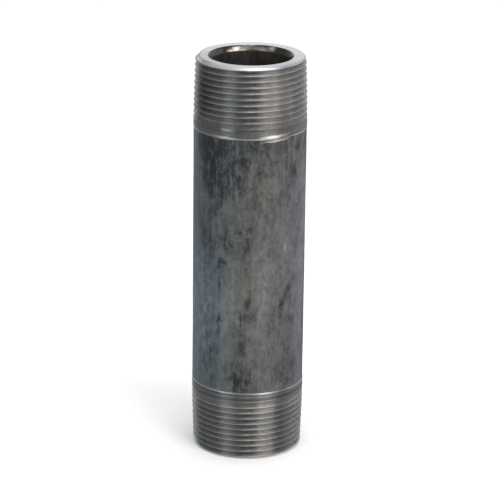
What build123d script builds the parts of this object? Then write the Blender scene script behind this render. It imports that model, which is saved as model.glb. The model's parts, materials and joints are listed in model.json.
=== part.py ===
"""Pipe nipple: a 6 inch length of 1-1/4 inch heavy-wall steel pipe with a tapered male thread on each end.

It stands on its lower end. The axis is +Z, and the origin is the centre of the lower end face.
Lengths are millimetres and angles are degrees. The nipple is one piece of steel, so it is one solid.
"""

from build123d import *
from math import atan, ceil, cos, degrees, radians, sqrt, tan
import os

# Pipe: nominal 1-1/4 inch, schedule 160.
INCH = 25.4
LENGTH = 6.0 * INCH
PIPE_RADIUS = 1.660 * INCH / 2
WALL = 0.250 * INCH
BORE_RADIUS = PIPE_RADIUS - WALL

# Taper pipe thread, 11.5 threads per inch, 60 degree form, diameter growing 1 in 16 from the end.
PITCH = INCH / 11.5
RADIUS_PER_LENGTH = 1 / 32
PITCH_RADIUS_AT_END = 1.55713 * INCH / 2
FLANK_ANGLE = 30.0
TRUNCATION = 0.060 * PITCH
FULL_THREAD = 0.7068 * INCH
VANISHING_THREAD = 0.24 * INCH

# The die pushes up a low collar where the thread runs out, and a small conical shoulder drops to the pipe.
SHOULDER_LENGTH = 0.6
CUT_LENGTH = 26.8

# End finish.
END_CHAMFER = 0.9
REAM_DEPTH = 2.1
REAM_HALF_ANGLE = 30.0

# Where each thread starts, turned right-handed about the axis that points into the pipe.
LOWER_START_ANGLE = 300.0
UPPER_START_ANGLE = 145.0

# The groove that cuts the thread stands this far clear of the crests and has spare turns at each end.
CUTTER_CLEARANCE = 0.08
SPARE_TURNS = 1

SHARP_HEIGHT = PITCH * sqrt(3) / 2
TAPER_ANGLE = degrees(atan(RADIUS_PER_LENGTH))
CREST_RADIUS_AT_END = PITCH_RADIUS_AT_END + SHARP_HEIGHT / 2 - TRUNCATION
ROOT_RADIUS_AT_END = PITCH_RADIUS_AT_END - SHARP_HEIGHT / 2 + TRUNCATION
COLLAR_RADIUS = CREST_RADIUS_AT_END + FULL_THREAD * RADIUS_PER_LENGTH
THREAD_LENGTH = FULL_THREAD + VANISHING_THREAD
NODE = "nipple_body"


def crest_radius(height):
    """Radius of the cone that the thread's crests lie on, at a height above the end face."""
    return CREST_RADIUS_AT_END + height * RADIUS_PER_LENGTH


def root_radius(height):
    """Radius of the cone that the thread's roots lie on, at a height above the end face."""
    return ROOT_RADIUS_AT_END + height * RADIUS_PER_LENGTH


def turned(outline):
    """A solid of revolution about Z from its closed (radius, height) outline."""
    face = make_face(Plane.XZ * Polyline(*outline, close=True))
    return revolve(face, Axis.Z)


def blank():
    """The nipple without its grooves: bored, reamed, chamfered and tapered, with a collar at each end."""
    mouth_radius = BORE_RADIUS + REAM_DEPTH * tan(radians(REAM_HALF_ANGLE))
    lower = [
        (BORE_RADIUS, REAM_DEPTH),
        (mouth_radius, 0),
        (crest_radius(END_CHAMFER) - END_CHAMFER, 0),
        (crest_radius(END_CHAMFER), END_CHAMFER),
        (COLLAR_RADIUS, FULL_THREAD),
        (COLLAR_RADIUS, CUT_LENGTH - SHOULDER_LENGTH),
        (PIPE_RADIUS, CUT_LENGTH),
    ]
    upper = [(radius, LENGTH - height) for radius, height in reversed(lower)]
    return turned(lower + upper)


def groove_turn(start):
    """One turn of a sharp V-shaped groove whose apex starts at +X, at a height above the end face."""
    depth = SHARP_HEIGHT - TRUNCATION + CUTTER_CLEARANCE
    half_width = depth * tan(radians(FLANK_ANGLE))
    apex_radius = PITCH_RADIUS_AT_END - SHARP_HEIGHT / 2 + start * RADIUS_PER_LENGTH
    slant_pitch = PITCH / cos(radians(TAPER_ANGLE))
    corners = [(apex_radius, 0), (apex_radius + depth, half_width), (apex_radius + depth, -half_width)]
    spirals = [
        Helix(slant_pitch, PITCH, radius, center=(0, 0, start + rise), cone_angle=TAPER_ANGLE)
        for radius, rise in corners
    ]
    pairs = zip(spirals, spirals[1:] + spirals[:1])
    sides = [Face.make_surface_from_curves(a.edge(), b.edge()) for a, b in pairs]
    caps = [make_face(Polyline(*(spiral @ end for spiral in spirals), close=True)).face() for end in (0, 1)]
    return Solid(Shell(sides + caps))


def die_throat():
    """The space inside the die: the root cone, then the steeper cone on which the thread runs out."""
    rise = (COLLAR_RADIUS - root_radius(FULL_THREAD)) / VANISHING_THREAD
    spare = 3 * SPARE_TURNS * PITCH
    bottom = -spare
    top = THREAD_LENGTH + spare
    outline = [
        (0, bottom),
        (root_radius(bottom), bottom),
        (root_radius(FULL_THREAD), FULL_THREAD),
        (COLLAR_RADIUS + rise * spare, top),
        (0, top),
    ]
    return turned(outline)


def thread_cut():
    """What the die removes from the lower end, one solid for each turn, for a thread that starts at +X."""
    last_turn = ceil(THREAD_LENGTH / PITCH) + SPARE_TURNS
    throat = die_throat()
    return [groove_turn(n * PITCH) - throat for n in range(-SPARE_TURNS, last_turn)]


def nipple():
    """The finished nipple: the blank with a right-hand thread cut on each end."""
    cut = thread_cut()
    lower = [Rot(Z=LOWER_START_ANGLE) * turn for turn in cut]
    upper = [Pos(Z=LENGTH) * Rot(X=180) * Rot(Z=UPPER_START_ANGLE) * turn for turn in cut]
    return blank() - lower - upper


os.makedirs("parts", exist_ok=True)
export_step(nipple(), f"parts/{NODE}.step")
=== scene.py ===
"""Looks of the pipe nipple: one finely threaded steel mesh, its six finishes, the studio and the camera.

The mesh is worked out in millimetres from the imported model's size, and scaled to metres when it is made.
Angles are radians unless a comment says degrees. The nipple's axis is +Z, and -Y is its front.
"""

import json
import math
import random

import bpy
from mathutils import Matrix, Vector, noise


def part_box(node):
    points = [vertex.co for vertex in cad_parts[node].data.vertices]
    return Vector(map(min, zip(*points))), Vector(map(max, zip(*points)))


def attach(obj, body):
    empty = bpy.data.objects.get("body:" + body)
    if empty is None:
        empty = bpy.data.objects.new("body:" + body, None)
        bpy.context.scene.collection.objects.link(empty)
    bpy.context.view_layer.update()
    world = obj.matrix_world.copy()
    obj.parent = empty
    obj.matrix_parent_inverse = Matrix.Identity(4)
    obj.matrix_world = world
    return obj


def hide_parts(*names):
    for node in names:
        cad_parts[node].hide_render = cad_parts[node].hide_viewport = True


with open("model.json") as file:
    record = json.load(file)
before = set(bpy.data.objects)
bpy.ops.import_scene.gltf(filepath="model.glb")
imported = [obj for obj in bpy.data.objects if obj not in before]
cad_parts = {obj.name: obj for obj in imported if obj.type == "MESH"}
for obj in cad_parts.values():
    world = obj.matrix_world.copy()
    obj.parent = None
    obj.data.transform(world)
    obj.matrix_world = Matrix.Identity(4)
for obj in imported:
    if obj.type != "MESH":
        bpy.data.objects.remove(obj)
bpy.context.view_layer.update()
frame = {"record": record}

# ---------------------------------------------------------------- sizes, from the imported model

MM = 0.001
TURN = 2 * math.pi
NODE = "nipple_body"
_, high_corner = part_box(NODE)
mounts = {mount["name"]: mount for mount in frame["record"]["mounts"]}

LENGTH = high_corner.z / MM
PIPE_RADIUS = mounts["body_grip"]["dims"]["r_mm"]
BORE_RADIUS = mounts["bore"]["dims"]["r_mm"]
REAM_DEPTH = (LENGTH - mounts["bore"]["dims"]["length_mm"]) / 2
CUT_LENGTH = (LENGTH - mounts["body_grip"]["dims"]["length_mm"]) / 2

# Taper pipe thread, 11.5 threads per inch, as the CAD model has it.
INCH = 25.4
PITCH = INCH / 11.5
TAPER = 1 / 32
PITCH_RADIUS_AT_END = 1.55713 * INCH / 2
SHARP_HEIGHT = PITCH * math.sqrt(3) / 2
FLANK_ANGLE = math.radians(30)
FLANK_SLOPE = 1 / math.tan(FLANK_ANGLE)
FULL_THREAD = 0.7068 * INCH
VANISH_END = FULL_THREAD + 0.24 * INCH
TRUNCATION = 0.060 * PITCH
CREST_AT_END = PITCH_RADIUS_AT_END + SHARP_HEIGHT / 2 - TRUNCATION
ROOT_AT_END = PITCH_RADIUS_AT_END - SHARP_HEIGHT / 2 + TRUNCATION
APEX_AT_END = PITCH_RADIUS_AT_END - SHARP_HEIGHT / 2
START_ANGLE = {"lower": math.radians(300.0), "upper": math.radians(145.0)}

# End finish, and the collar of metal that the die leaves standing where the thread runs out.
END_CHAMFER = 0.9
COLLAR_RADIUS = CREST_AT_END + FULL_THREAD * TAPER
SHOULDER_LENGTH = 0.6
SHOULDER_START = CUT_LENGTH - SHOULDER_LENGTH
REAM_HALF_ANGLE = math.radians(30)
MOUTH_RADIUS = BORE_RADIUS + REAM_DEPTH * math.tan(REAM_HALF_ANGLE)
CHAMFER_FOOT = CREST_AT_END + END_CHAMFER * TAPER - END_CHAMFER

# Mesh detail: columns all round, and rows along each stretch of the surface.
COLUMNS = 360
BORE_ROWS = 17
REAM_ROWS = 3
FACE_ROWS = 4
COLLAR_ROWS = 8
BARREL_ROWS = 46

# Edges are rounded this much, or by a third of a narrow flank. A flank under the thinnest is left out.
EDGE_ROUND = 0.05
THINNEST_FLANK = 0.004

# Turns looked at beyond the thread's two ends, and rounds of working out where a flank meets a cone.
SPARE_TURNS = 1
FLANK_ROUNDS = 4

# ---------------------------------------------------------------- the outside of one end

# A cone is (radius at the end face, radius gained per millimetre of height above the end face).
CREST_CONE = (CREST_AT_END, TAPER)
ROOT_CONE = (ROOT_AT_END, TAPER)
CHAMFER_CONE = (CHAMFER_FOOT, 1.0)
COLLAR_CONE = (COLLAR_RADIUS, 0.0)
SHOULDER_SLOPE = (PIPE_RADIUS - COLLAR_RADIUS) / SHOULDER_LENGTH
SHOULDER_CONE = (PIPE_RADIUS - SHOULDER_SLOPE * CUT_LENGTH, SHOULDER_SLOPE)
THROAT_SLOPE = (COLLAR_RADIUS - ROOT_AT_END - FULL_THREAD * TAPER) / (VANISH_END - FULL_THREAD)
THROAT_CONE = (COLLAR_RADIUS - THROAT_SLOPE * VANISH_END, THROAT_SLOPE)


def on_cone(cone, height):
    """A cone's radius at a height above the end face."""
    return cone[0] + cone[1] * height


def blank_cone(height):
    """The cone that the outside lies on between grooves, at a height above the end face."""
    if height < END_CHAMFER:
        return CHAMFER_CONE
    if height < FULL_THREAD:
        return CREST_CONE
    if height < SHOULDER_START:
        return COLLAR_CONE
    return SHOULDER_CONE


def floor_cone(height):
    """The cone that the grooves' floors lie on, at a height above the end face."""
    return ROOT_CONE if height < FULL_THREAD else THROAT_CONE


def groove_centre(end, angle, turn):
    """Height of a groove's centre above its end face, for an angle about +Z."""
    if end == "lower":
        return PITCH * ((angle - START_ANGLE["lower"]) / TURN + turn)
    return PITCH * (turn - (angle + START_ANGLE["upper"]) / TURN)


def flank_radius(centre, height):
    """Radius of the groove's flank at a height, for a groove centred at another."""
    return APEX_AT_END + TAPER * centre + FLANK_SLOPE * abs(height - centre)


def outside_radius(end, angle, height):
    """Radius of the threaded end at an angle about +Z and a height above its end face."""
    blank = on_cone(blank_cone(height), height)
    if height > VANISH_END:
        return max(blank, PIPE_RADIUS)
    turn = round((height - groove_centre(end, angle, 0)) / PITCH)
    flank = flank_radius(groove_centre(end, angle, turn), height)
    return min(blank, max(flank, on_cone(floor_cone(height), height)))


def flank_meets(cone_at, centre, side):
    """Height at which a groove's upper (side 1) or lower (side -1) flank meets the cone from cone_at."""
    height = centre
    for _ in range(FLANK_ROUNDS):
        radius, slope = cone_at(height)
        apex = APEX_AT_END + TAPER * centre - side * FLANK_SLOPE * centre
        height = (radius - apex) / (side * FLANK_SLOPE - slope)
    return height


# ---------------------------------------------------------------- rows of the surface

# A place on the surface is an angle and a "station". Along the outside a station is the height in
# millimetres. Below 0 it runs back over the lower face, the ream and the bore, and above LENGTH the same.
FACE_WIDTH = CHAMFER_FOOT - MOUTH_RADIUS
REAM_END = FACE_WIDTH + REAM_DEPTH
BACK_END = REAM_END + LENGTH / 2 - REAM_DEPTH


def spaced(first, last, gaps):
    """Numbers spaced evenly from first to last, with so many gaps between them."""
    return [first + (last - first) * i / gaps for i in range(gaps + 1)]


def end_levels():
    """Stations of one end that are the same all round, from the bore's middle to the barrel."""
    behind = spaced(BACK_END, REAM_END + EDGE_ROUND, BORE_ROWS)[1:]
    ream = spaced(REAM_END - EDGE_ROUND, FACE_WIDTH + EDGE_ROUND, REAM_ROWS)
    face = spaced(FACE_WIDTH - EDGE_ROUND, EDGE_ROUND, FACE_ROWS)
    chamfer = [EDGE_ROUND, END_CHAMFER - EDGE_ROUND, END_CHAMFER + EDGE_ROUND, FULL_THREAD]
    collar = spaced(VANISH_END, SHOULDER_START - EDGE_ROUND, COLLAR_ROWS)
    shoulder = [SHOULDER_START + EDGE_ROUND, CUT_LENGTH - EDGE_ROUND]
    return [-back for back in behind + ream + face] + chamfer + collar + shoulder


def all_levels():
    """Every station that is the same all round, in order, from the bore's middle round to it again."""
    ends = end_levels()
    barrel = spaced(CUT_LENGTH + EDGE_ROUND, LENGTH - CUT_LENGTH - EDGE_ROUND, BARREL_ROWS)
    return [-BACK_END] + ends + barrel + [LENGTH - level for level in reversed(ends)]


def groove_rows(end, angle):
    """(label, height) of each edge of each groove at one angle: its floor's edges and its rounded lips."""
    rows = []
    last_turn = math.ceil(VANISH_END / PITCH) + SPARE_TURNS
    for turn in range(-SPARE_TURNS, last_turn + 1):
        centre = groove_centre(end, angle, turn)
        for side in (-1, 1):
            lip = flank_meets(blank_cone, centre, side)
            foot = flank_meets(floor_cone, centre, side)
            flank_width = (lip - foot) * side
            if flank_width < THINNEST_FLANK:
                continue
            rounding = side * min(EDGE_ROUND, flank_width / 3)
            rows.append(((end, turn, side, "foot"), foot))
            rows.append(((end, turn, side, "under lip"), lip - rounding))
            rows.append(((end, turn, side, "over lip"), lip + rounding))
    return [(label, height) for label, height in rows if EDGE_ROUND < height < VANISH_END]


def column(angle, levels):
    """Every (station, label) at one angle, in order. A level's label is its place in the list."""
    rows = [(station, index) for index, station in enumerate(levels)]
    rows += [(height, label) for label, height in groove_rows("lower", angle)]
    rows += [(LENGTH - height, label) for label, height in groove_rows("upper", angle)]
    return sorted(rows, key=lambda row: row[0])


def spans(rows):
    """Splits a column at its levels: {level: [(label, rank), ...]} for the groove rows above each level."""
    found = {}
    level = None
    for rank, (_, label) in enumerate(rows):
        if isinstance(label, int):
            level = label
            found[level] = []
        found[level].append((label, rank))
    return found


def strip_faces(left, right):
    """Faces between two neighbouring columns, as lists of (side, rank) corners."""
    left_spans = spans(left)
    right_spans = spans(right)
    rungs = []
    for level, labels in left_spans.items():
        matching = dict(right_spans[level])
        rungs += [(rank, matching[label]) for label, rank in labels if label in matching]
    faces = []
    for (left_low, right_low), (left_high, right_high) in zip(rungs, rungs[1:]):
        up_the_right = [(1, rank) for rank in range(right_low, right_high + 1)]
        down_the_left = [(0, rank) for rank in range(left_high, left_low - 1, -1)]
        faces.append(up_the_right + down_the_left)
    return faces


# ---------------------------------------------------------------- wear

# The die leaves waves round the collar, which start one pitch before the thread has run out. The mesh keeps
# how deep in them each vertex is, as an attribute that the thread's finish reads.
RIPPLE_DEPTH = {"lower": 0.05, "upper": 0.015}
RIPPLE_START = VANISH_END - PITCH
TROUGH = "trough"

# Crests are torn by broad and fine noise, as (depth, features per millimetre). They wear only where they
# stand high enough over the grooves' floor, and fully a little higher up.
BROAD_TEAR = (0.06, 0.6)
FINE_TEAR = (0.03, 2.1)
WEAR_STARTS = 0.5
WEAR_GROWS_OVER = 0.5

# The barrel's skin has slow waves and, along it, drawn lines. Its wear grows over a stretch at each end.
WAVE_DEPTH = 0.05
WAVES_PER_MM = 0.05
DRAWN_DEPTH = 0.02
DRAWN_PER_MM = (0.28, 0.28, 0.03)
BARREL_WEAR_GROWS_OVER = 2.0

# Nicks in the crests are (end, angle, height above the end face, width, depth), with each number drawn
# from its range. A nick reaches no further up or down than so many of its widths.
NICKS_PER_END = 14
NICK_RANGES = [(0, TURN), (2.0, 22.0), (0.5, 1.1), (0.08, 0.25)]
NICK_REACH = 3
wear = random.Random(11)
NICKS = [
    (end, *[wear.uniform(low, high) for low, high in NICK_RANGES])
    for end in ("lower", "upper")
    for _ in range(NICKS_PER_END)
]


def clamped(value):
    """A value held between 0 and 1."""
    return min(1.0, max(0.0, value))


def crest_wear(end, angle, height, point):
    """How far a crest stands below its true radius: a torn, uneven edge and a few nicks."""
    broad_depth, broad_per_mm = BROAD_TEAR
    fine_depth, fine_per_mm = FINE_TEAR
    torn = broad_depth * (0.5 + noise.noise(point * broad_per_mm))
    torn += fine_depth * abs(noise.noise(point * fine_per_mm))
    for nick_end, nick_angle, nick_height, width, depth in NICKS:
        if nick_end != end or abs(height - nick_height) > NICK_REACH * width:
            continue
        around = PIPE_RADIUS * math.remainder(angle - nick_angle, TURN)
        away = (around ** 2 + (height - nick_height) ** 2) / width ** 2
        torn += depth * math.exp(-away)
    return max(torn, 0.0)


def die_ripple(end, angle, height):
    """How far the collar dips where the die's last teeth went round it: waves at the thread's pitch."""
    turns = (height - groove_centre(end, angle, 0)) / PITCH
    rising = clamped((height - RIPPLE_START) / PITCH)
    return rising * RIPPLE_DEPTH[end] * (1 + math.cos(TURN * turns)) / 2


def barrel_wear(point):
    """How far the rolled barrel's skin lies below its true radius: slow waves and drawn lines."""
    along = Vector([part * per_mm for part, per_mm in zip(point, DRAWN_PER_MM)])
    waves = WAVE_DEPTH * (0.5 + noise.noise(point * WAVES_PER_MM))
    drawn = DRAWN_DEPTH * (0.5 + noise.noise(along))
    return waves + drawn


def end_and_height(station):
    """The end that a station is nearer to, and its height above that end's face."""
    if station < LENGTH / 2:
        return "lower", station
    return "upper", LENGTH - station


def trough_depth(angle, station):
    """How deep in a ripple of the collar a place is, from 0 to 1 for the deepest."""
    end, height = end_and_height(station)
    if height < RIPPLE_START or height > SHOULDER_START:
        return 0.0
    return die_ripple(end, angle, height) / max(RIPPLE_DEPTH.values())


def surface_point(angle, station):
    """The point of the surface at an angle and a station, in millimetres."""
    end, height = end_and_height(station)
    around = Vector((math.cos(angle), math.sin(angle), 0))
    if height > CUT_LENGTH:
        radius = PIPE_RADIUS
        here = around * radius + Vector((0, 0, station))
        radius -= clamped((height - CUT_LENGTH) / BARREL_WEAR_GROWS_OVER) * barrel_wear(here)
    elif height > 0:
        radius = outside_radius(end, angle, height)
        here = around * radius + Vector((0, 0, station))
        floor = on_cone(floor_cone(height), height)
        proud = clamped((radius - floor - WEAR_STARTS) / WEAR_GROWS_OVER)
        radius -= proud * crest_wear(end, angle, height, here)
        if height < SHOULDER_START:
            radius -= die_ripple(end, angle, height)
    elif height > -FACE_WIDTH:
        rim = outside_radius(end, angle, 0)
        radius = MOUTH_RADIUS + (rim - MOUTH_RADIUS) * (1 + height / FACE_WIDTH)
        height = 0
    elif height > -REAM_END:
        height = -height - FACE_WIDTH
        radius = MOUTH_RADIUS + (BORE_RADIUS - MOUTH_RADIUS) * height / REAM_DEPTH
    else:
        height = REAM_DEPTH - height - REAM_END
        radius = BORE_RADIUS
    return around * radius + Vector((0, 0, height if end == "lower" else LENGTH - height))


# ---------------------------------------------------------------- material building blocks

# Anisotropic rotation is counted in turns. A quarter turn puts highlights across the tangent, along the axis.
QUARTER_TURN = 0.25


def node(tree, kind, inputs=None, **settings):
    """Adds a shader node. Its inputs are plain values, or other nodes' outputs to link."""
    made = tree.nodes.new(kind)
    for name, value in settings.items():
        setattr(made, name, value)
    for name, value in (inputs or {}).items():
        if isinstance(value, bpy.types.NodeSocket):
            tree.links.new(value, made.inputs[name])
        else:
            made.inputs[name].default_value = value
    return made


def math_node(tree, operation, *values):
    """The result of a Math node."""
    return node(tree, "ShaderNodeMath", dict(enumerate(values)), operation=operation).outputs[0]


def vector_node(tree, operation, *values):
    """A Vector Math node."""
    return node(tree, "ShaderNodeVectorMath", dict(enumerate(values)), operation=operation)


def fit(tree, value, low, high, to_low=0.0, to_high=1.0, smooth=False):
    """A value taken from low..high to to_low..to_high, held at the ends."""
    inputs = {"Value": value, "From Min": low, "From Max": high, "To Min": to_low, "To Max": to_high}
    kind = "SMOOTHSTEP" if smooth else "LINEAR"
    return node(tree, "ShaderNodeMapRange", inputs, interpolation_type=kind).outputs["Result"]


def turned_down(tree, value, most):
    """A value from 0 to 1 brought down to reach only the most."""
    return fit(tree, value, 0, 1, 0.0, most)


def mix(tree, amount, first, second):
    """Two colours mixed by an amount."""
    made = node(tree, "ShaderNodeMix", {0: amount}, data_type="RGBA")
    for socket, colour in ((made.inputs[6], first), (made.inputs[7], second)):
        if isinstance(colour, bpy.types.NodeSocket):
            tree.links.new(colour, socket)
        else:
            socket.default_value = (*colour, 1)
    return made.outputs[2]


def millimetres(tree, stretch=(1, 1, 1)):
    """The place on the nipple in millimetres, each axis multiplied by its stretch."""
    place = node(tree, "ShaderNodeTexCoord").outputs["Object"]
    scale = [part / MM for part in stretch]
    return node(tree, "ShaderNodeMapping", {"Vector": place, "Scale": scale}).outputs[0]


def speckle(tree, place, per_mm, detail=3.0, roughness=0.5, distortion=0.0, contrast=0.2):
    """Noise from 0 to 1 at so many features per millimetre. A lower contrast number gives harder edges."""
    inputs = {
        "Vector": place,
        "Scale": per_mm,
        "Detail": detail,
        "Roughness": roughness,
        "Distortion": distortion,
    }
    grey = node(tree, "ShaderNodeTexNoise", inputs).outputs["Fac"]
    return fit(tree, grey, 0.5 - contrast, 0.5 + contrast)


def veins(tree, place, per_mm, width):
    """Thin winding lines, 1 on a line and 0 off it."""
    inputs = {"Vector": place, "Scale": per_mm, "Detail": 5.0, "Roughness": 0.6, "Distortion": 0.5}
    grey = node(tree, "ShaderNodeTexNoise", inputs).outputs["Fac"]
    off_line = math_node(tree, "ABSOLUTE", math_node(tree, "SUBTRACT", grey, 0.5))
    return fit(tree, off_line, 0.0, width, 1.0, 0.0)


def radius_and_height(tree):
    """Distance from the axis and height above the lower end, in millimetres."""
    x, y, height = node(tree, "ShaderNodeSeparateXYZ", {0: millimetres(tree)}).outputs
    squares = [math_node(tree, "POWER", part, 2.0) for part in (x, y)]
    return math_node(tree, "SQRT", math_node(tree, "ADD", *squares)), height


def unrolled(tree):
    """The place on the nipple as if unrolled flat: (millimetres round from the front, height, 0)."""
    x, y, height = node(tree, "ShaderNodeSeparateXYZ", {0: millimetres(tree)}).outputs
    angle = math_node(tree, "ARCTAN2", x, math_node(tree, "MULTIPLY", y, -1.0))
    arc = math_node(tree, "MULTIPLY", angle, PIPE_RADIUS)
    return node(tree, "ShaderNodeCombineXYZ", {0: arc, 1: height}).outputs[0]


def round_from_front(tree):
    """Millimetres round from the front, below 0 on the left, and the same without its sign."""
    arc = node(tree, "ShaderNodeSeparateXYZ", {0: unrolled(tree)}).outputs[0]
    return arc, math_node(tree, "ABSOLUTE", arc)


def material(name, metallic, anisotropic=0.0):
    """A new material, its node tree and its shader. An anisotropic one is brushed round the axis."""
    made = bpy.data.materials.new(name)
    made.use_nodes = True
    tree = made.node_tree
    shader = tree.nodes["Principled BSDF"]
    shader.inputs["Metallic"].default_value = metallic
    if anisotropic:
        shader.inputs["Anisotropic"].default_value = anisotropic
        shader.inputs["Anisotropic Rotation"].default_value = QUARTER_TURN
        around_axis = node(tree, "ShaderNodeTangent", direction_type="RADIAL", axis="Z").outputs[0]
        tree.links.new(around_axis, shader.inputs["Tangent"])
    return made, tree, shader


def dress(tree, shader, colour, roughness, height, depth_mm):
    """Links a shader's colour and roughness, and bumps it by a height of so many millimetres."""
    tree.links.new(colour, shader.inputs["Base Color"])
    tree.links.new(roughness, shader.inputs["Roughness"])
    bump = node(tree, "ShaderNodeBump", {"Strength": 1.0, "Distance": depth_mm * MM, "Height": height})
    tree.links.new(bump.outputs[0], shader.inputs["Normal"])


# ---------------------------------------------------------------- listed marks

# Each mark is (degrees round from the front, height in mm, half width and half height in mm,
# tilt in degrees, strength from 0 to 1). Counted in its half widths and half heights, it is at full
# strength as far as its core and gone beyond its edge.
MARK_CORE = 0.2
MARK_EDGE = 1.7

# The barrel's dark stains, and its light marks: small scuffs, and four broad painted highlights, down the
# left edge, down the right edge and in two bands in front.
STAINS = [
    (5, 123.0, 26.0, 5.0, 0, 0.5),
    (-18, 117.0, 20.0, 9.0, 0, 0.42),
    (-53, 121.0, 5.0, 7.0, 0, 0.9),
    (-54, 112.0, 7.0, 9.0, 0, 0.4),
    (25, 120.0, 4.5, 8.0, 0, 0.55),
    (-58, 98.0, 7.0, 16.0, 0, 0.35),
    (-48, 88.0, 5.0, 9.0, 0, 0.3),
    (22, 101.0, 6.0, 6.0, 0, 0.25),
    (-44, 122.5, 2.6, 2.4, 0, 1.0),
    (-40, 115.0, 1.6, 7.5, 0, 1.0),
    (-30, 120.5, 1.0, 5.0, 0, 0.9),
    (-40, 113.0, 8.0, 13.0, 0, 0.62),
    (-25, 111.0, 4.5, 12.0, 0, 0.4),
    (-8, 117.0, 2.2, 4.5, 0, 0.65),
    (38, 117.0, 8.0, 8.0, 0, 0.3),
    (-23, 86.0, 2.6, 5.5, 20, 0.5),
    (-24, 90.5, 1.6, 1.3, 0, 0.4),
    (-6, 84.0, 3.0, 9.0, 0, 0.4),
    (-6, 90.3, 2.8, 0.9, 0, 0.6),
    (-28, 77.5, 1.8, 1.4, 0, 0.6),
    (-31, 67.5, 0.8, 2.4, 0, 0.7),
    (-31, 53.5, 0.6, 5.0, 0, 0.5),
    (-2, 59.5, 2.4, 5.5, -20, 0.6),
    (-6, 47.0, 2.6, 5.5, 0, 0.45),
    (5, 58.0, 1.6, 6.0, 0, 0.6),
    (33, 60.0, 1.5, 9.0, -30, 0.45),
    (22, 52.5, 0.9, 3.0, 0, 0.5),
    (-6, 31.5, 5.0, 6.0, 0, 0.65),
    (-38, 35.0, 6.0, 9.0, 0, 0.3),
    (14, 40.0, 12.0, 11.0, 0, 0.15),
    (-40, 42.5, 2.6, 2.0, 30, 0.5),
    (42, 43.5, 1.6, 4.5, 25, 0.45),
    (40, 33.0, 7.0, 7.0, 0, 0.4),
]
SCUFFS_AND_SHEEN = [
    (-60, 57.0, 9.0, 18.0, 0, 0.45),
    (-22, 62.0, 5.0, 8.0, 0, 0.2),
    (20, 70.0, 5.0, 14.0, 0, 0.25),
    (65, 84.0, 5.0, 42.0, 0, 0.4),
    (49, 104.5, 1.2, 1.6, 0, 0.5),
    (41, 110.5, 0.5, 2.6, 0, 0.4),
    (40, 83.0, 0.6, 2.8, 0, 0.5),
    (27, 92.5, 0.4, 1.6, 0, 0.35),
    (26, 78.0, 0.5, 2.8, 0, 0.35),
    (8, 94.5, 0.7, 1.3, 0, 0.4),
    (-13, 104.5, 0.5, 1.7, 0, 0.35),
    (-35, 109.5, 0.4, 4.5, 0, 0.35),
]

# Painted glints on the upper collar and its shoulder, where the lights catch the shoulder's edge.
SHOULDER_GLINTS = [
    (-29, 126.0, 3.6, 0.45, 0, 0.9),
    (26, 126.6, 5.0, 0.5, 3, 1.0),
    (27, 125.0, 4.4, 0.30, 3, 0.7),
    (-24, 129.0, 2.6, 0.4, 0, 0.4),
]

# The upper thread's painted highlight on its right, painted shade on its left side, and a darker band across
# its front where it runs out.
PAINTED_THREAD_HIGHLIGHT = [
    (38, 141.0, 4.0, 11.0, 0, 0.6),
]
DARK_THREAD_AND_SHADE = [
    (-66, 140.0, 7.0, 12.0, 0, 0.8),
    (-8, 130.0, 30.0, 4.5, 0, 0.32),
]

# The upper face's painted highlights in front and at the back, and its painted shade on the left; and the
# painted glints far round inside the upper ream.
PAINTED_FACE_HIGHLIGHTS = [
    (5, LENGTH, 9.0, 3.0, 0, 0.55),
    (-165, LENGTH, 18.0, 3.0, 0, 0.9),
    (165, LENGTH, 18.0, 3.0, 0, 0.9),
]
PAINTED_FACE_SHADE = [
    (-66, LENGTH, 5.0, 3.0, 0, 0.4),
    (-86, LENGTH, 6.0, 3.0, 0, 0.4),
]
PAINTED_REAM_GLINTS = [
    (-158, 151.2, 2.4, 0.7, 0, 0.9),
    (-148, 150.7, 1.6, 0.5, 0, 1.0),
    (149, 151.5, 1.8, 0.7, 0, 0.8),
    (-172, 151.0, 4.0, 0.7, 0, 0.3),
    (169, 151.0, 4.0, 0.7, 0, 0.35),
]

# How far noise moves the edges of marks, in millimetres: round the nipple, along it, and nothing outwards.
RAGGED = (5.0, 10.0, 0)
GLINT_RAGGED = (3.0, 0.6, 0)
RIM_RAGGED = (4.0, 0.4, 0)


def marked(tree, marks, raggedness=RAGGED):
    """How strong the hand-placed marks are here, from 0 to 1."""
    noise_place = millimetres(tree, (1, 1, 0.45))
    warp = node(tree, "ShaderNodeTexNoise", {"Vector": noise_place, "Scale": 0.5, "Detail": 4.0})
    centred = vector_node(tree, "SUBTRACT", warp.outputs["Color"], (0.5, 0.5, 0.5)).outputs[0]
    shift = vector_node(tree, "MULTIPLY", centred, raggedness).outputs[0]
    ragged = vector_node(tree, "ADD", unrolled(tree), shift).outputs[0]
    strongest = 0.0
    for azimuth, height, half_width, half_height, tilt, strength in marks:
        placed = {
            "Vector": ragged,
            "Location": (math.radians(azimuth) * PIPE_RADIUS, height, 0),
            "Rotation": (0, 0, math.radians(tilt)),
            "Scale": (half_width, half_height, 1),
        }
        inside = node(tree, "ShaderNodeMapping", placed, vector_type="TEXTURE").outputs[0]
        away = vector_node(tree, "LENGTH", inside).outputs["Value"]
        mark = fit(tree, away, MARK_CORE, MARK_EDGE, strength, 0.0, smooth=True)
        strongest = math_node(tree, "MAXIMUM", strongest, mark)
    # How strong the listed marks are here, from 0 to 1.
    return strongest


# ---------------------------------------------------------------- finishes

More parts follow.
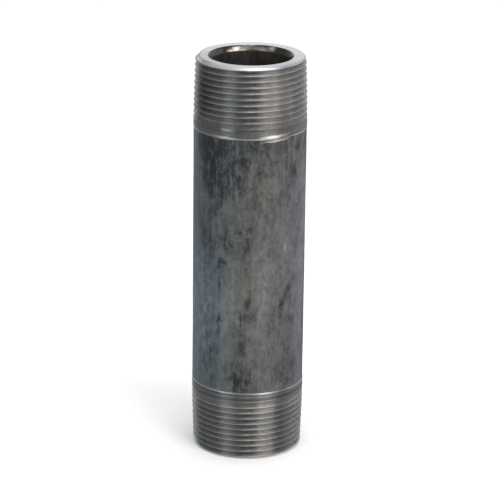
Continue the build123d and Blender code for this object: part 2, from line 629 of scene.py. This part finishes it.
# Colours of the barrel's scale.
SCALE_OLIVE = (0.165, 0.171, 0.161)
SCALE_GREY = (0.152, 0.159, 0.171)
SCALE_SLATE = (0.121, 0.156, 0.184)
SCALE_PEWTER = (0.150, 0.158, 0.180)
SCALE_DARK = (0.021, 0.025, 0.023)
SCALE_DARK_SLATE = (0.014, 0.020, 0.030)
SCALE_BLACK = (0.006, 0.007, 0.009)
SCALE_WORN_AND_SHEEN = (0.30, 0.30, 0.31)
SCALE_GLINT = (0.66, 0.63, 0.62)

# Where the barrel's looks change, in millimetres round from the front: slate and pewter tints start and are
# full, both tints begin to fade and are gone, and the back's own stains start and are full.
SLATE_ROUND = (-3, -18)
PEWTER_ROUND = (9, 22)
TINTS_FADE_ROUND = (38, 62)
BACK_STAINS_ROUND = (26, 38)

# Colours of the cut thread.
THREAD_COOL = (0.28, 0.295, 0.31)
THREAD_WARM = (0.35, 0.33, 0.305)
THREAD_FLECK = (0.11, 0.11, 0.115)
THREAD_COLLAR = (0.13, 0.13, 0.135)
THREAD_ROOT_SHADE = (0.20, 0.20, 0.205)
THREAD_CREST = (0.56, 0.56, 0.56)
THREAD_TROUGH = (0.07, 0.07, 0.075)
THREAD_HIGHLIGHT = (0.60, 0.58, 0.55)
THREAD_DARK_AND_SHADE = (0.05, 0.056, 0.066)
THREAD_GLINT = (0.80, 0.77, 0.76)

# Colours of the shoulder, the end face, the ream and the bore.
SHOULDER_GREY = (0.40, 0.40, 0.41)
SHOULDER_BRIGHT = (0.56, 0.545, 0.535)
FACE_COOL = (0.42, 0.44, 0.45)
FACE_WARM = (0.52, 0.51, 0.55)
FACE_HIGHLIGHT = (0.66, 0.66, 0.68)
FACE_SHADE = (0.24, 0.25, 0.27)
FACE_RING = (0.32, 0.32, 0.33)
REAM_BROWN = (0.12, 0.10, 0.085)
REAM_GREY = (0.06, 0.06, 0.056)
REAM_CHATTER = (0.045, 0.039, 0.034)
REAM_GLINT = (0.60, 0.54, 0.49)
BORE_BLACK = (0.015, 0.014, 0.015)
BORE_BROWN = (0.042, 0.038, 0.034)


def barrel_tints(tree):
    """The scale's light and dark colours: olive and grey in front, slate on the left, pewter on the right."""
    hue = speckle(tree, millimetres(tree, (1, 1, 0.3)), per_mm=0.11, contrast=0.12)
    from_front, off_front = round_from_front(tree)
    short_of_back = fit(tree, off_front, *TINTS_FADE_ROUND, 1.0, 0.0)
    slate = math_node(tree, "MULTIPLY", fit(tree, from_front, *SLATE_ROUND), short_of_back)
    pewter = math_node(tree, "MULTIPLY", fit(tree, from_front, *PEWTER_ROUND), short_of_back)
    light = mix(tree, hue, SCALE_OLIVE, SCALE_GREY)
    light = mix(tree, slate, light, SCALE_SLATE)
    light = mix(tree, pewter, light, SCALE_PEWTER)
    return light, mix(tree, slate, SCALE_DARK, SCALE_DARK_SLATE)


def barrel_stains(tree):
    """How stained the barrel is, from 0 to 1: by listed marks in front and by noise at the back."""
    stretched = millimetres(tree, (1, 1, 0.35))
    blotches = speckle(tree, stretched, per_mm=0.10, detail=7, roughness=0.62, distortion=0.4)
    _, off_front = round_from_front(tree)
    towards_back = fit(tree, off_front, *BACK_STAINS_ROUND, 0.0, 0.5)
    at_back = math_node(tree, "MULTIPLY", fit(tree, blotches, 0.45, 0.15), towards_back)
    return math_node(tree, "MAXIMUM", marked(tree, STAINS), at_back)


def mill_scale():
    """Black oxide with a thin lacquer on the drawn barrel: streaked, mottled, veined, stained and scuffed,
    with painted highlights down both edges and in front, and painted glints below the upper shoulder.
    """
    made, tree, shader = material("mill_scale", metallic=0.25)
    streaks = speckle(tree, millimetres(tree, (1, 1, 0.07)), per_mm=0.8, detail=6, roughness=0.7)
    stretched = millimetres(tree, (1, 1, 0.65))
    mottle = speckle(tree, stretched, per_mm=0.40, detail=8, roughness=0.7, distortion=0.5, contrast=0.16)
    grain = speckle(tree, millimetres(tree, (1, 1, 0.8)), per_mm=1.3)
    patches = speckle(tree, millimetres(tree, (1, 1, 0.35)), per_mm=0.075)
    lines = veins(tree, millimetres(tree, (1, 1, 0.45)), per_mm=0.16, width=0.09)
    uneven = math_node(tree, "ADD", mottle, streaks)
    tone = 0.0
    for pattern, weight in ((mottle, 0.36), (streaks, 0.20), (grain, 0.16), (patches, 0.30)):
        tone = math_node(tree, "MULTIPLY_ADD", pattern, weight, tone)
    marks = (
        (lines, fit(tree, patches, 0.2, 0.9, -0.2, 0.0)),
        (barrel_stains(tree), fit(tree, uneven, 0.4, 1.5, -1.0, -0.45)),
        # Light marks: small scuffs, and broad painted highlights down both edges and in front.
        (marked(tree, SCUFFS_AND_SHEEN), fit(tree, mottle, 0.2, 0.8, 0.3, 1.0)),
    )
    for mark, weight in marks:
        tone = math_node(tree, "MULTIPLY_ADD", mark, weight, tone)
    light, dark = barrel_tints(tree)
    colour = mix(tree, fit(tree, tone, -0.05, 0.9), dark, light)
    colour = mix(tree, fit(tree, tone, -0.05, -0.5), colour, SCALE_BLACK)
    # The lightest tone is worn scale, and painted sheen under the broad painted highlights.
    colour = mix(tree, fit(tree, tone, 0.9, 1.3), colour, SCALE_WORN_AND_SHEEN)
    # Painted glints below the upper shoulder.
    colour = mix(tree, marked(tree, SHOULDER_GLINTS, GLINT_RAGGED), colour, SCALE_GLINT)
    rough = fit(tree, uneven, 0, 2, 0.36, 0.55)
    dress(tree, shader, colour, rough, math_node(tree, "ADD", grain, mottle), depth_mm=0.02)
    return made


def cut_thread():
    """Bright-cut, oily steel: burnished on the crests, torn along the flanks, with painted shade in the
    roots, a painted highlight and painted shade on the upper thread, and painted glints by the upper
    shoulder.
    """
    made, tree, shader = material("cut_thread", metallic=0.85, anisotropic=1.0)
    radius, height = radius_and_height(tree)
    from_end = math_node(tree, "MINIMUM", height, math_node(tree, "SUBTRACT", LENGTH, height))
    cone = math_node(tree, "MULTIPLY_ADD", from_end, TAPER, CREST_AT_END)
    crest = math_node(tree, "MINIMUM", cone, COLLAR_RADIUS)
    below_crest = math_node(tree, "SUBTRACT", crest, radius)
    buried = fit(tree, below_crest, 0.1, 1.5)
    on_collar = fit(tree, from_end, VANISH_END - 3, VANISH_END - 1)
    on_crest = fit(tree, below_crest, 0.04, 0.22, 0.4, 0.0)
    crest_line = math_node(tree, "MULTIPLY", on_crest, fit(tree, on_collar, 0, 1, 1.0, 0.0))
    trough = node(tree, "ShaderNodeAttribute", attribute_name=TROUGH).outputs["Fac"]
    marks = speckle(tree, millimetres(tree, (0.06, 0.06, 1)), per_mm=6.0, detail=4, roughness=0.6)
    stretched = millimetres(tree, (1, 1, 0.6))
    smear = speckle(tree, stretched, per_mm=0.16, detail=4, roughness=0.6, contrast=0.16)
    fleck = speckle(tree, millimetres(tree, (0.4, 0.4, 1)), per_mm=1.8, detail=5, roughness=0.65)
    colour = mix(tree, smear, THREAD_COOL, THREAD_WARM)
    layers = (
        (turned_down(tree, fleck, 0.6), THREAD_FLECK),
        (turned_down(tree, on_collar, 0.4), THREAD_COLLAR),
        # Painted shade, darker the deeper the surface lies in a groove.
        (turned_down(tree, buried, 0.3), THREAD_ROOT_SHADE),
        (crest_line, THREAD_CREST),
        (turned_down(tree, trough, 0.75), THREAD_TROUGH),
        # Painted highlight on the upper thread's right.
        (marked(tree, PAINTED_THREAD_HIGHLIGHT), THREAD_HIGHLIGHT),
        # Painted shade on the upper thread's left side, and a darker band where it runs out.
        (marked(tree, DARK_THREAD_AND_SHADE), THREAD_DARK_AND_SHADE),
        # Painted glints on the upper collar and its shoulder.
        (marked(tree, SHOULDER_GLINTS, GLINT_RAGGED), THREAD_GLINT),
    )
    for amount, over in layers:
        colour = mix(tree, amount, colour, over)
    rough = math_node(tree, "ADD", fit(tree, buried, 0, 1, 0.40, 0.46), turned_down(tree, fleck, 0.08))
    dress(tree, shader, colour, rough, math_node(tree, "ADD", marks, fleck), depth_mm=0.012)
    return made


def burnished_shoulder():
    """The narrow shoulder where the die stopped: bare steel, rubbed bright in places."""
    made, tree, shader = material("burnished_shoulder", metallic=1.0, anisotropic=1.0)
    rubbed = speckle(tree, millimetres(tree, (1, 1, 0.3)), per_mm=0.12, detail=2, contrast=0.12)
    marks = speckle(tree, millimetres(tree, (0.06, 0.06, 1)), per_mm=6.0)
    colour = mix(tree, rubbed, SHOULDER_GREY, SHOULDER_BRIGHT)
    dress(tree, shader, colour, fit(tree, rubbed, 0, 1, 0.46, 0.38), marks, depth_mm=0.02)
    return made


def faced_end():
    """The turned end face and its chamfer: fine rings, and the brightest steel on the nipple, with painted
    highlights in front and at the back and painted shade on the left.
    """
    made, tree, shader = material("faced_end", metallic=1.0, anisotropic=0.6)
    radius, height = radius_and_height(tree)
    ring = node(tree, "ShaderNodeCombineXYZ", {0: radius, 1: height}).outputs[0]
    rings = speckle(tree, ring, per_mm=5.0)
    smear = speckle(tree, millimetres(tree), per_mm=0.2, detail=4, roughness=0.6)
    colour = mix(tree, smear, FACE_COOL, FACE_WARM)
    # Painted highlights on the upper face, in front and at the back.
    colour = mix(tree, marked(tree, PAINTED_FACE_HIGHLIGHTS, RIM_RAGGED), colour, FACE_HIGHLIGHT)
    # Painted shade on the upper face's left.
    colour = mix(tree, marked(tree, PAINTED_FACE_SHADE, RIM_RAGGED), colour, FACE_SHADE)
    colour = mix(tree, turned_down(tree, rings, 0.25), colour, FACE_RING)
    on_chamfer = fit(tree, radius, CHAMFER_FOOT - EDGE_ROUND, CHAMFER_FOOT + EDGE_ROUND, 0.0, 0.12)
    rough = math_node(tree, "ADD", fit(tree, smear, 0, 1, 0.30, 0.40), on_chamfer)
    dress(tree, shader, colour, rough, rings, depth_mm=0.008)
    return made


def reamed_mouth():
    """The reamed cone inside each end: brown-grey, with the reamer's chatter and a few painted glints."""
    made, tree, shader = material("reamed_mouth", metallic=1.0)
    chatter = speckle(tree, millimetres(tree, (1, 1, 0.5)), per_mm=0.9, detail=5, roughness=0.65)
    brown = speckle(tree, millimetres(tree), per_mm=0.25, detail=4, roughness=0.6, contrast=0.14)
    colour = mix(tree, brown, REAM_BROWN, REAM_GREY)
    colour = mix(tree, chatter, colour, REAM_CHATTER)
    # Painted glints far round inside the upper ream.
    colour = mix(tree, marked(tree, PAINTED_REAM_GLINTS, RIM_RAGGED), colour, REAM_GLINT)
    dress(tree, shader, colour, fit(tree, chatter, 0, 1, 0.22, 0.32), chatter, depth_mm=0.014)
    return made


def bore_scale():
    """Dark, rough scale with a little brown in it, all down the bore."""
    made, tree, shader = material("bore_scale", metallic=0.2)
    mottle = speckle(tree, millimetres(tree, (1, 1, 0.4)), per_mm=0.5, detail=6, roughness=0.65)
    colour = mix(tree, mottle, BORE_BLACK, BORE_BROWN)
    dress(tree, shader, colour, fit(tree, mottle, 0, 1, 0.40, 0.62), mottle, depth_mm=0.04)
    return made


# ---------------------------------------------------------------- the mesh

# Each finish, and the height above the nearer end face from which it covers the surface.
FINISHES = [
    (mill_scale, CUT_LENGTH),
    (burnished_shoulder, SHOULDER_START),
    (cut_thread, END_CHAMFER),
    (faced_end, -FACE_WIDTH),
    (reamed_mouth, -REAM_END),
    (bore_scale, -math.inf),
]


def finish_of(station):
    """Which of FINISHES covers a station, as its place in the list."""
    height = min(station, LENGTH - station)
    return next(place for place, (_, lowest) in enumerate(FINISHES) if height > lowest)


def nipple_mesh():
    """The whole nipple as one closed mesh, in metres."""
    levels = all_levels()
    columns = [column(TURN * i / COLUMNS, levels) for i in range(COLUMNS + 1)]
    first = [0]
    vertices = []
    troughs = []
    for i, rows in enumerate(columns[:-1]):
        angle = TURN * i / COLUMNS
        vertices += [surface_point(angle, station) * MM for station, _ in rows[:-1]]
        troughs += [trough_depth(angle, station) for station, _ in rows[:-1]]
        first.append(len(vertices))
    first[-1] = 0
    faces = []
    finishes = []
    for i in range(COLUMNS):
        sides = (columns[i], columns[i + 1])
        for corners in strip_faces(*sides):
            stations = [sides[side][rank][0] for side, rank in corners]
            faces.append([first[i + side] + rank % (len(sides[side]) - 1) for side, rank in corners])
            finishes.append(finish_of(sum(stations) / len(stations)))
    mesh = bpy.data.meshes.new("nipple")
    mesh.from_pydata(vertices, [], faces)
    mesh.polygons.foreach_set("material_index", finishes)
    mesh.polygons.foreach_set("use_smooth", [True] * len(faces))
    mesh.attributes.new(TROUGH, "FLOAT", "POINT").data.foreach_set("value", troughs)
    mesh.update()
    return mesh


nipple = bpy.data.objects.new("nipple", nipple_mesh())
bpy.context.scene.collection.objects.link(nipple)
for finish, _ in FINISHES:
    nipple.data.materials.append(finish())
nipple.modifiers.new("weighted_normals", "WEIGHTED_NORMAL")
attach(nipple, "root")
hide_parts(NODE)

# ---------------------------------------------------------------- studio

MIDDLE = Vector((0, 0, LENGTH / 2 * MM))
WORLD_COLOUR = (0.42, 0.42, 0.41, 1)
FLOOR_SIZE = 40
PAPER_COLOUR = (0.97, 0.97, 0.97, 1)
PAPER_ROUGHNESS = 0.9


def softbox(name, azimuth, elevation, distance, size, radiance, colour=(1, 1, 1)):
    """A rectangular light that faces the nipple's middle. Cameras don't see the box itself, only its light.

    Angles are degrees and lengths metres. Azimuth 0 is the camera's side, and positive is to its right.
    """
    turn = math.radians(azimuth)
    rise = math.radians(elevation)
    outwards = Vector((math.sin(turn) * math.cos(rise), -math.cos(turn) * math.cos(rise), math.sin(rise)))
    light = bpy.data.lights.new(name, "AREA")
    light.shape = "RECTANGLE"
    light.size, light.size_y = size
    light.energy = radiance * size[0] * size[1] * math.pi
    light.color = colour
    lamp = bpy.data.objects.new(name, light)
    lamp.location = MIDDLE + outwards * distance
    lamp.rotation_mode = "QUATERNION"
    lamp.rotation_quaternion = (-outwards).to_track_quat("-Z", "Y")
    lamp.visible_camera = False
    bpy.context.scene.collection.objects.link(lamp)


softbox("top", 18, 74, 1.1, (0.5, 0.7), 4.6)
softbox("overhead_fill", 180, 70, 1.3, (1.6, 1.2), 0.8)
softbox("right_front", 40, 18, 1.76, (1.1, 1.76), 3.4, (1.0, 0.95, 0.9))
softbox("left_front", -46, 18, 1.76, (0.75, 1.76), 1.7, (0.90, 0.97, 1.0))
softbox("right_side", 115, 15, 1.76, (1.58, 1.4), 0.8, (0.92, 0.90, 1.0))
softbox("rim_left", -142, 15, 1.76, (0.88, 1.4), 0.3, (0.62, 0.84, 1.0))
softbox("backdrop", 180, 20, 1.6, (2.2, 0.8), 0.8)

world = bpy.data.worlds.new("studio")
world.use_nodes = True
world.node_tree.nodes["Background"].inputs["Color"].default_value = WORLD_COLOUR
bpy.context.scene.world = world

bpy.ops.mesh.primitive_plane_add(size=FLOOR_SIZE)
floor = bpy.context.object
floor.name = "floor"
paper, _, paper_shader = material("pale_floor", metallic=0.0)
paper_shader.inputs["Base Color"].default_value = PAPER_COLOUR
paper_shader.inputs["Roughness"].default_value = PAPER_ROUGHNESS
floor.data.materials.append(paper)
floor.visible_glossy = False

# ---------------------------------------------------------------- camera

CAMERA_DISTANCE = 0.990
CAMERA_ELEVATION = math.radians(18.365)
CAMERA_ROLL = math.radians(0.69)
CAMERA_AIM = Vector((0.00047, 0, 0.07671))
LENS = 188.96

camera = bpy.data.objects.new("camera", bpy.data.cameras.new("camera"))
bpy.context.scene.collection.objects.link(camera)
back = Vector((0, -math.cos(CAMERA_ELEVATION), math.sin(CAMERA_ELEVATION)))
turned = (-back).to_track_quat("-Z", "Y").to_matrix() @ Matrix.Rotation(CAMERA_ROLL, 3, "Z")
camera.matrix_world = Matrix.Translation(CAMERA_AIM + back * CAMERA_DISTANCE) @ turned.to_4x4()
camera.data.lens = LENS
bpy.context.scene.camera = camera
bpy.context.scene.view_settings.view_transform = "Standard"
